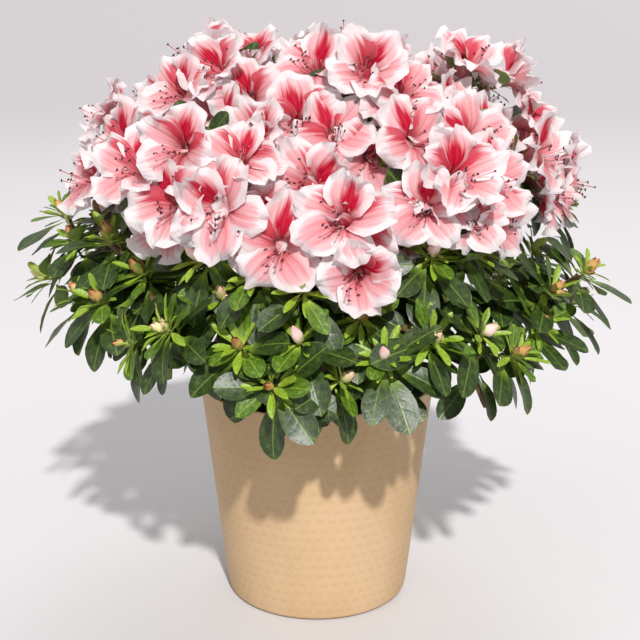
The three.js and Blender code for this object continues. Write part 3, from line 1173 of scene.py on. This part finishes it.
class Foliage:
    """The leaves of the whole plant, by age."""

    def __init__(self):
        self.old, self.mid, self.new, self.collar = [], [], [], []

    def add(self, ages, place, along, top, size, rng):
        count = len(NEW_SHAPES if ages is self.new else OLD_SHAPES)
        ages.append(Spot(place, facing_turn(along, top), size, int(rng.integers(count))))


def ring_way(facing, turn, pitch):
    """A way that leans from the facing by a pitch, at a turn round it."""
    side = facing.orthogonal().normalized()
    side.rotate(Matrix.Rotation(turn, 3, facing))
    return facing * math.cos(pitch) + side * math.sin(pitch)


def leaf_ring(foliage, ages, tip, count, back, pitch, size, rng, sag=0.0):
    """Leaves in a spiral just behind a tip: where they start, how they lean, how long."""
    start = rng.uniform(0, 2 * np.pi)
    for k in range(count):
        share = (k + 0.5) / count
        turn = start + GOLDEN_ANGLE * k
        lean = math.radians(pitch[0] + (pitch[1] - pitch[0]) * share + rng.normal(0, 7))
        way = ring_way(tip.facing, turn, lean) - UP * sag
        place = tip.place - tip.facing * (back[0] + (back[1] - back[0]) * share)
        length = rng.uniform(*size)
        foliage.add(ages, place + way * 0.8 * MM, way, tip.facing + UP * 0.35, length, rng)


# %% Dressing the tips
foliage = Foliage()
rng = np.random.default_rng(41)
for tip in whorls:
    leaf_ring(foliage, foliage.old, tip, rng.integers(6, 9), (11 * MM, 3 * MM), (94, 66),
              (28 * MM, 37 * MM), rng, sag=0.08)
    leaf_ring(foliage, foliage.mid, tip, rng.integers(2, 5), (3 * MM, 1 * MM), (76, 52),
              (18 * MM, 26 * MM), rng)
    leaf_ring(foliage, foliage.new, tip, rng.integers(10, 14), (3 * MM, 0), (86, 32),
              (10 * MM, 20 * MM), rng)
    lower = Tip(tip.place - tip.facing * 22 * MM, tip.facing, tip.mass)
    leaf_ring(foliage, foliage.old, lower, 4, (10 * MM, 0), (95, 75), (22 * MM, 30 * MM), rng, 0.15)
for tip in flowers[:outer_flowers]:
    collar = Tip(tip.place - tip.facing * (FLOWER_DEPTH + 3 * MM), tip.facing, tip.mass)
    leaf_ring(foliage, foliage.collar, collar, 6, (14 * MM, 2 * MM), (92, 60),
              (24 * MM, 32 * MM), rng, sag=0.1)
    leaf_ring(foliage, foliage.mid, collar, 2, (3 * MM, 0), (60, 45), (16 * MM, 22 * MM), rng)
print("leaves", len(foliage.old), len(foliage.collar), len(foliage.mid), len(foliage.new))

old_leaves = spread("leaves_dark_in_whorls", OLD_SHAPES, foliage.old, OLD_LEAF)
collar_leaves = spread("leaves_dark_under_flowers", OLD_SHAPES, foliage.collar, OLD_LEAF)
mid_leaves = spread("leaves_green", OLD_SHAPES, foliage.mid, MID_LEAF)
new_leaves = spread("leaves_young", NEW_SHAPES, foliage.new, NEW_LEAF)
for piece in (old_leaves, collar_leaves, mid_leaves, new_leaves):
    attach(piece, "root")
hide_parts(*leaf_nodes)

# %% [markdown]
# ## Flowers
#
# A flower is a funnel whose rim opens into five broad lobes. Each lobe is one grid: near
# the foot it follows its fifth of the funnel, and further out it goes flat and wide,
# with one edge over its neighbour and the other one under it. Its margin is thrown into
# gentle waves. The lobes that face up carry the rose-red blotch.

# %% One lobe
PETAL_ROWS = 11
PETAL_COLUMNS = 10
PETAL_LENGTH = 37 * MM
PETAL_THICKNESS = 0.3 * MM
TUBE_RADIUS = 2.2 * MM
LOBE_HALF_WIDTH = 12.6 * MM
LOBES = 5
FIFTH = math.pi / LOBES  # half of the turn that a lobe has at the foot of the funnel
SPLIT = 0.3  # of the length, where the funnel parts into lobes
WIDEST = 0.66
MARKINGS = 4  # each kind of lobe has four variants of its markings on the map
LOWER, RIGHT_OF_TOP, LEFT_OF_TOP, TOP = range(4)  # the kinds of lobe, by row of the map


def lobe_profile(openness, recurve, tube_lean=9.0):
    """Radius, height and lean of a lobe's middle line, at even steps along it."""
    step = np.linspace(0, 1, 81)
    lean = np.radians(tube_lean + (openness - tube_lean) * smooth(step, 0.18, 0.6))
    lean = lean + np.radians(recurve) * smooth(step, 0.6, 1.0)
    piece = PETAL_LENGTH / (len(step) - 1)
    radius = TUBE_RADIUS + np.concatenate([[0], np.cumsum(np.sin(lean[1:])) * piece])
    height = np.concatenate([[0], np.cumsum(np.cos(lean[1:])) * piece])
    return step, radius, height, lean


def margin_waves(rng, across, along, side):
    """How far the margin is pushed to and fro, by the turn round the middle of the lobe."""
    around = np.arctan2(side, (along - 0.6) * 22 * MM)
    edge = np.clip(np.abs(across) ** 3 + smooth(along, 0.6, 1.0) ** 3, 0, 1.1)
    waves = np.sin(rng.integers(3, 6) * around + rng.uniform(0, 6.3)) * 0.6
    waves = waves + np.sin(rng.integers(7, 11) * around + rng.uniform(0, 6.3)) * 0.4
    return waves * edge * rng.uniform(2.8, 5.2) * MM


def petal_shape(rng, turn, openness, recurve, kind, scale):
    """One lobe at a turn round the flower, which faces +Z from the foot of its tube."""
    across, along = grid(PETAL_ROWS, PETAL_COLUMNS)
    step, radius, height, lean = lobe_profile(openness, recurve)
    end, back = paddle(along, 0.0, WIDEST, tip_back=0.1)
    reach = along - back * across**2 + 0.02 * (np.exp(-((across / 0.2) ** 2)) - 1) * smooth(along, 0.7, 1)
    r = np.interp(reach, step, radius)
    z = np.interp(reach, step, height)
    tilt = np.interp(reach, step, lean)

    free = smooth(along, SPLIT - 0.1, 0.6)
    side = -across * (r * FIFTH * (1 - free) + LOBE_HALF_WIDTH * scale * end * free)
    round_way = side / np.maximum(r, 1e-4)
    straight = smooth(along, 0.2, 0.6)
    x = r * (np.cos(round_way) * (1 - straight) + straight)
    y = r * np.sin(round_way) * (1 - straight) + side * straight

    push = margin_waves(rng, across, along, side) * free
    push = push + across * free * 1.5 * MM  # one edge over its neighbour, the other under
    push = push + rng.uniform(-4.5, 4.5) * MM * across**2 * free
    groove = np.exp(-((across / 0.14) ** 2)) * smooth(along, 0.2, 0.5) * (1 - smooth(along, 0.6, 1))
    push = push - 1.0 * MM * groove
    x = x - np.cos(tilt) * push
    z = z + np.sin(tilt) * push
    sway = rng.uniform(-4, 4) * MM * smooth(along, 0.4, 1.0)
    y = y + sway
    points = np.stack([x * math.cos(turn) - y * math.sin(turn),
                       x * math.sin(turn) + y * math.cos(turn), z], -1)
    cell = int(rng.integers(MARKINGS)), kind
    return two_sheets(points, across, along, PETAL_THICKNESS, cell, (2 * MARKINGS, 4))


# %% A flower's petals, in two lots: the upper three lobes and the lower two
class FlowerKind:
    """One shape of flower, made lobe by lobe, the first of which points up."""

    def __init__(self, rng, openness):
        lobes = []
        for lobe, kind in enumerate((TOP, LEFT_OF_TOP, LOWER, LOWER, RIGHT_OF_TOP)):
            turn = math.pi / 2 + lobe * 2 * FIFTH + rng.normal(0, 0.06)
            recurve = rng.uniform(-25, 55)
            scale = rng.uniform(0.86, 1.08)
            lobes.append(petal_shape(rng, turn, openness + rng.normal(0, 9), recurve, kind, scale))
        self.upper = Shape.joined([lobes[0], lobes[1], lobes[4]])
        self.lower = Shape.joined(lobes[2:4])


rng = np.random.default_rng(51)
KINDS = [FlowerKind(rng, openness) for openness in (78, 70, 84, 64, 74, 56, 80, 68, 86, 46)]

# %% The petals' finish
PETAL_WHITE = tint("#f8f3f4")
PETAL_BLUSH = tint("#f8d8db")
PETAL_PINK = tint("#f5bbc0")
PETAL_CORAL = tint("#e65f6d")
PETAL_ROSE = tint("#d51943")
PETAL_DEEP = tint("#8d0a2c")
THROAT = tint("#b9a45c")


def petal_finish():
    """The markings of the lobes, drawn cell by cell from the foot of each."""
    petal = Finish("petal_white_edged_pink", roughness=0.55, specular=0.25)
    u, v = petal.own_uv()
    column, row = (u * 2 * MARKINGS).whole(), (v * 4).whole()
    across = (u * 2 * MARKINGS - column - 0.5) / CELL_HALF
    along = (v * 4 - row - 0.01) / 0.98
    outside = column.ramp(MARKINGS - 0.6, MARKINGS - 0.4)
    variant = column - outside * MARKINGS
    outwards = abs(across)

    # How near the margin: 0 at the middle line and the foot, 1 at the edge of the lobe.
    sideways = outwards * along.ramp(0.22, 0.55)
    endways = ((along - 0.55) / 0.45).most(0.0)
    edge = (sideways**3 + endways**3) ** (1 / 3)

    seed = variant * 3.1 + row * 7.7
    streaks = petal.noise(petal.place(across * 5, along * 1.1, seed), 1.0, detail=3.0)
    fine = petal.noise(petal.place(across * 15, along * 1.6, seed), 1.0, detail=3.0)
    ragged = (streaks - 0.5) * 1.0 + (fine - 0.5) * 0.55

    body = 1 - (edge + ragged * 0.5 - variant * 0.07).ramp(0.47, 0.63)
    colour = petal.blend(PETAL_WHITE, PETAL_BLUSH, body)
    deeper = 1 - (edge * 0.7 + along * 0.45 + ragged * 0.9 - variant * 0.06).ramp(0.3, 0.76)
    colour = petal.blend(colour, PETAL_PINK, deeper)
    heart = 1 - (outwards * 0.5 + along * 1.25 + ragged * 0.9).ramp(0.36, 0.84)
    colour = petal.blend(colour, PETAL_CORAL, heart * 0.9)

    is_top = row.ramp(TOP - 0.6, TOP - 0.4)
    is_beside = row.ramp(0.4, 0.6) * (1 - is_top)
    aside = (row - 1.5) * 1.2 * is_beside
    spread_red = abs(across - aside) * 1.15 + abs(along - 0.48) * 1.7 + ragged * 1.1
    red = (1 - spread_red.ramp(0.38, 0.84)) * (is_top + is_beside * 0.85)
    colour = petal.blend(colour, PETAL_ROSE, red)
    dots = petal.noise(petal.place(across * 8, along * 15, seed), 1.0, detail=1.0).ramp(0.6, 0.7)
    colour = petal.blend(colour, PETAL_DEEP, dots * (1 - spread_red.ramp(0.2, 0.6)) * is_top * 0.6)
    veins = ((across * 17 + ragged * 2).sine() * 0.5 + 0.5) ** 5 * (1 - edge.ramp(0.45, 0.9))
    colour = petal.blend(colour, PETAL_CORAL, veins * 0.3)
    colour = petal.blend(colour, THROAT, (1 - along.ramp(0.06, 0.2)) * 0.8)

    back = petal.blend(PETAL_WHITE, PETAL_BLUSH, (1 - (edge + ragged * 0.5).ramp(0.3, 0.8)) * 0.7)
    stripe = (1 - (outwards + ragged * 0.3).ramp(0.02, 0.3)) * (1 - along.ramp(0.6, 0.95))
    back = petal.blend(back, PETAL_PINK, stripe.most(veins * 0.4))
    back = petal.blend(back, PETAL_CORAL, (1 - (along + ragged * 0.2).ramp(0.12, 0.42)) * 0.6)
    colour = petal.blend(colour, back, outside)

    crease = 1 - outwards.ramp(0.0, 0.06)
    petal.relief(fine * 0.6 + streaks * 0.5 - crease * 0.3, 0.9 * MM)
    petal.let_light_through(colour, 0.55)
    return petal.paint(colour)


PETAL = petal_finish()


# %% Putting the flowers on
def flower_spots(rng):
    spots = []
    for tip in flowers:
        roll = Matrix.Rotation(rng.normal(0, 0.5), 3, tip.facing)
        side = UP.cross(tip.facing)
        side = side.normalized() if side.length > 0.05 else Vector((1, 0, 0))
        above = tip.facing.cross(side).normalized()
        turn = roll @ Matrix((side, above, tip.facing)).transposed()
        foot = tip.place - tip.facing * FLOWER_DEPTH
        spots.append(Spot(foot, turn, rng.uniform(0.8, 1.0), int(rng.integers(len(KINDS)))))
    return spots


rng = np.random.default_rng(61)
blooms = flower_spots(rng)
half = len(blooms) // 2
front_uppers = spread("petals_upper_first", [k.upper for k in KINDS], blooms[:half], PETAL)
other_uppers = spread("petals_upper_rest", [k.upper for k in KINDS], blooms[half:], PETAL)
lowers = spread("petals_lower", [k.lower for k in KINDS], blooms, PETAL)
for piece in (front_uppers, other_uppers, lowers):
    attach(piece, "root")
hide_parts(*bloom_nodes)

# %% [markdown]
# ## Stamens
#
# From the funnel's foot rise seven to nine thin pink filaments, which dip and curve up
# again, each with a dark anther, and one longer style with a round tip.


# %% Filaments and anthers
def curved_thread(rng, reach, dip, spread_out, thick, sides=3, steps=6):
    """A thin tube from the funnel's foot, whose map runs along it."""
    end = Vector((rng.normal(0, spread_out), -dip + rng.normal(0, spread_out), reach))
    middle = Vector((end.x * 0.35, end.y * 0.75 - 2 * MM, reach * 0.55))
    foot = Vector((rng.normal(0, 0.4 * MM), rng.normal(0, 0.4 * MM), 3 * MM))
    line = []
    for t in np.linspace(0, 1, steps + 1):
        line.append(foot * (1 - t) ** 2 + middle * 2 * t * (1 - t) + end * t * t)
    rings = [[p + Vector((c, s, 0)) * thick for c, s in circle(sides)] for p in line]
    thread = Shape(*tube(rings, np.linspace(0, 1, steps + 1)))
    return thread, line[-1], (line[-1] - line[-2]).normalized()


def bead(centre, way, long_radius, thick):
    """A small pointed bead with six sides."""
    side = way.orthogonal().normalized()
    other = way.cross(side)
    points = [centre - way * long_radius]
    points += [centre + (side * c + other * s) * thick for c, s in circle(6)]
    points.append(centre + way * long_radius)
    faces = [[0, 1 + (k + 1) % 6, 1 + k] for k in range(6)]
    faces += [[7, 1 + k, 1 + (k + 1) % 6] for k in range(6)]
    return Shape(points, faces, [(0.5, 0.5)] * (3 * len(faces)))


def stamens(rng):
    threads, beads = [], []
    for _ in range(rng.integers(7, 10)):
        reach = rng.uniform(20, 28) * MM
        thread, end, way = curved_thread(rng, reach, 4 * MM, 4.5 * MM, 0.26 * MM)
        threads.append(thread)
        across = (way.orthogonal() + Vector(rng.normal(0, 0.4, 3))).normalized()
        beads.append(bead(end, across, 1.4 * MM, 0.65 * MM))
    style, end, way = curved_thread(rng, 32 * MM, 5 * MM, 3 * MM, 0.34 * MM)
    threads.append(style)
    beads.append(bead(end, way, 0.8 * MM, 0.8 * MM))
    return Shape.joined(threads), Shape.joined(beads)


def thread_finish():
    thread = Finish("pink_filament", roughness=0.45)
    _, along = thread.own_uv()
    colour = thread.blend(tint("#ecd2cc"), tint("#e2959b"), along.ramp(0.1, 0.6))
    return thread.paint(thread.blend(colour, tint("#c9566b"), along.ramp(0.75, 1.0)))


def anther_finish():
    anther = Finish("dark_anther", roughness=0.7)
    grain = anther.noise(anther.object_place(), 900.0)
    return anther.paint(anther.blend(tint("#2b1018"), tint("#5c2530"), grain.ramp(0.4, 0.7)))


rng = np.random.default_rng(71)
STAMENS = [stamens(rng) for _ in KINDS]
filaments = spread("filaments", [s[0] for s in STAMENS], blooms, thread_finish())
anthers = spread("anthers", [s[1] for s in STAMENS], blooms, anther_finish())
for piece in (filaments, anthers):
    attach(piece, "root")

# %% [markdown]
# ## Buds, and the cups of the flowers
#
# Each leafy shoot ends in one to three buds: small eggs wrapped in pointed scales, which
# are brown on some shoots and pale on others. A few shoots hold a flower bud instead,
# furled, and pink. The same egg, plain and green, is the cup that each open flower stands
# in, and it closes the foot of the funnel.

# %% A bud of scales
SCALE_ROWS = 4
SCALE_COLUMNS = 2


def scale_shape(turn, foot, length, width, girth, lean):
    """One pointed scale that lies on an egg of a given girth."""
    across, along = grid(SCALE_ROWS, SCALE_COLUMNS)
    height = foot + along * length * math.cos(lean)
    belly = girth * np.sin(np.pi * np.clip(0.12 + 0.8 * (foot + along * length), 0.02, 0.985)) ** 0.8
    belly = belly + along * length * math.sin(lean) * 0.5
    half = width * (1 - along**2.2) ** 0.8 * (0.75 + 0.5 * along) + 0.02
    angle = turn + across * half / 1.0
    out = belly * (1 - 0.06 * across**2) + 0.02
    points = np.stack([out * np.cos(angle), out * np.sin(angle), height], -1)
    faces = grid_faces(SCALE_ROWS, SCALE_COLUMNS)
    uv = np.stack([0.5 + 0.48 * across.ravel(), (0.02 + 0.96 * height.ravel().clip(0, 1))], 1)[faces]
    return Shape(points, faces, uv)


def egg_shape(girth, furrows, sides=15, rows=8):
    """A closed egg one unit long, with furrows that wind round it."""
    rings = []
    for share in np.linspace(0.06, 0.97, rows):
        ring = []
        for turn in np.linspace(0, 2 * np.pi, sides, endpoint=False):
            fold = 1 - 0.2 * furrows * abs(math.sin(1.5 * (turn + 1.4 * share)))
            out = girth * math.sin(math.pi * share**0.85) ** 0.8 * fold
            ring.append((out * math.cos(turn), out * math.sin(turn), share))
        rings.append(ring)
    points, faces, uv = tube(rings, (np.arange(rows) + 0.5) / rows)
    points += [(0, 0, 0), (0, 0, 1)]
    foot, tip = len(points) - 2, len(points) - 1
    for k in range(sides):
        after = (k + 1) % sides
        faces.append([foot, after, k])
        faces.append([tip, foot - sides + k, foot - sides + after])
        uv += [(0.5, 0.0)] * 3 + [(0.5, 1.0)] * 3
    return Shape(points, faces, uv)


def bud_shape(rng, girth, scales):
    """A bud one unit long, its scales set in a spiral from foot to tip."""
    made = [egg_shape(girth * 0.8, 0.0, sides=9, rows=6)]
    for k in range(scales):
        share = k / scales
        foot = 0.62 * share
        length = 0.42 + 0.1 * rng.uniform()
        grow = girth * (1.04 - 0.1 * share)
        flare = rng.uniform(0.08, 0.34) * (1 - 0.5 * share)
        made.append(scale_shape(GOLDEN_ANGLE * k, foot, length, 1.0, grow, flare))
    return Shape.joined(made)


def bud_finish(name, low, middle, tip_colour):
    bud = Finish(name, roughness=0.5)
    across, up = bud.own_uv()
    side = abs(across - 0.5) * 2
    colour = bud.blend(low, middle, up.ramp(0.15, 0.55))
    colour = bud.blend(colour, tip_colour, up.ramp(0.6, 0.95))
    colour = bud.blend(colour, tint("#f3e3c0"), side.ramp(0.75, 1.0) * 0.5)
    return bud.paint(colour)


def upright_turn(facing, rng):
    """The turn that lays +Z along a facing, at any turn round it."""
    turn = facing_turn(facing, UP + Vector(rng.normal(0, 0.3, 3)))
    return turn @ Matrix.Rotation(-math.pi / 2, 3, "X")


rng = np.random.default_rng(81)
BUD_SHAPES = [bud_shape(rng, girth, 12) for girth in (0.19, 0.22, 0.25, 0.2)]
brown_buds, pale_buds, flower_bud_spots = [], [], []
for tip in whorls:
    shape = int(rng.integers(len(BUD_SHAPES)))
    if rng.uniform() < 0.06:
        size = rng.uniform(13, 18) * MM
        flower_bud_spots.append(Spot(tip.place, upright_turn(tip.facing, rng), size, shape % 3))
        continue
    kind = brown_buds if rng.uniform() < 0.55 else pale_buds
    kind.append(Spot(tip.place, upright_turn(tip.facing, rng), rng.uniform(9, 12.5) * MM, shape))
    for _ in range(rng.integers(0, 3)):
        way = ring_way(tip.facing, rng.uniform(0, 2 * np.pi), math.radians(rng.uniform(25, 50)))
        shape = int(rng.integers(len(BUD_SHAPES)))
        kind.append(Spot(tip.place, upright_turn(way, rng), rng.uniform(6.5, 9.5) * MM, shape))
leaf_buds = spread(
    "shoot_buds_brown", BUD_SHAPES, brown_buds,
    bud_finish("green_and_brown_bud_scales", tint("#97a548"), tint("#c79f5c"), tint("#9c5a30")),
)
opening_buds = spread(
    "shoot_buds_pale", BUD_SHAPES, pale_buds,
    bud_finish("cream_bud_scales", tint("#a9b45a"), tint("#e6d79e"), tint("#ecc9b0")),
)
FURLED_SHAPES = [egg_shape(girth, 1.0) for girth in (0.22, 0.25, 0.28)]
flower_buds = spread(
    "flower_buds", FURLED_SHAPES, flower_bud_spots,
    bud_finish("furled_pink_bud", tint("#c9c487"), tint("#efd0c9"), tint("#e9a9ab")),
)
for piece in (leaf_buds, opening_buds):
    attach(piece, "root")
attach(flower_buds, "root")

# %% The cups of the flowers
CUP_SHAPE = egg_shape(0.26, 0.0, sides=10, rows=6)
CUP_LENGTH = 10.5 * MM
CUP_BELOW = 3.5 * MM  # how far it reaches behind the funnel's foot
cup_spots = []
for bloom in blooms:
    turn = bloom.turn.to_matrix()
    cup_spots.append(Spot(bloom.place - turn @ UP * CUP_BELOW, turn, CUP_LENGTH, 0))
cups = spread(
    "flower_cups", [CUP_SHAPE], cup_spots,
    bud_finish("green_flower_cup", tint("#8fa24a"), tint("#cf7a76"), tint("#d9676f")),
)
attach(cups, "root")


# %% The floor
def floor_finish():
    paint = Finish("pale_floor", roughness=0.55, specular=0.3)
    place = paint.object_place()
    reach = paint.node("ShaderNodeVectorMath", {"operation": "LENGTH"}, {0: place}, out=1)
    cloud = paint.noise(place, 3.0)
    near = paint.blend(tint("#c4c2c4"), tint("#bfbdbf"), cloud)
    # Painted light: the floor is lighter near the pot and a darker grey far off, a painted falloff of
    # light round the pot.
    return paint.paint(paint.blend(near, tint("#aaa6a9"), reach.ramp(0.4, 3.0)))


FLOOR_REACH = 40
floor_points = [(FLOOR_REACH * math.cos(a), FLOOR_REACH * math.sin(a), -0.2 * MM)
                for a in np.linspace(0, 2 * np.pi, 96, endpoint=False)]
floor = make_object("floor", Shape(floor_points, [range(96)], [(0, 0)] * 96), floor_finish())
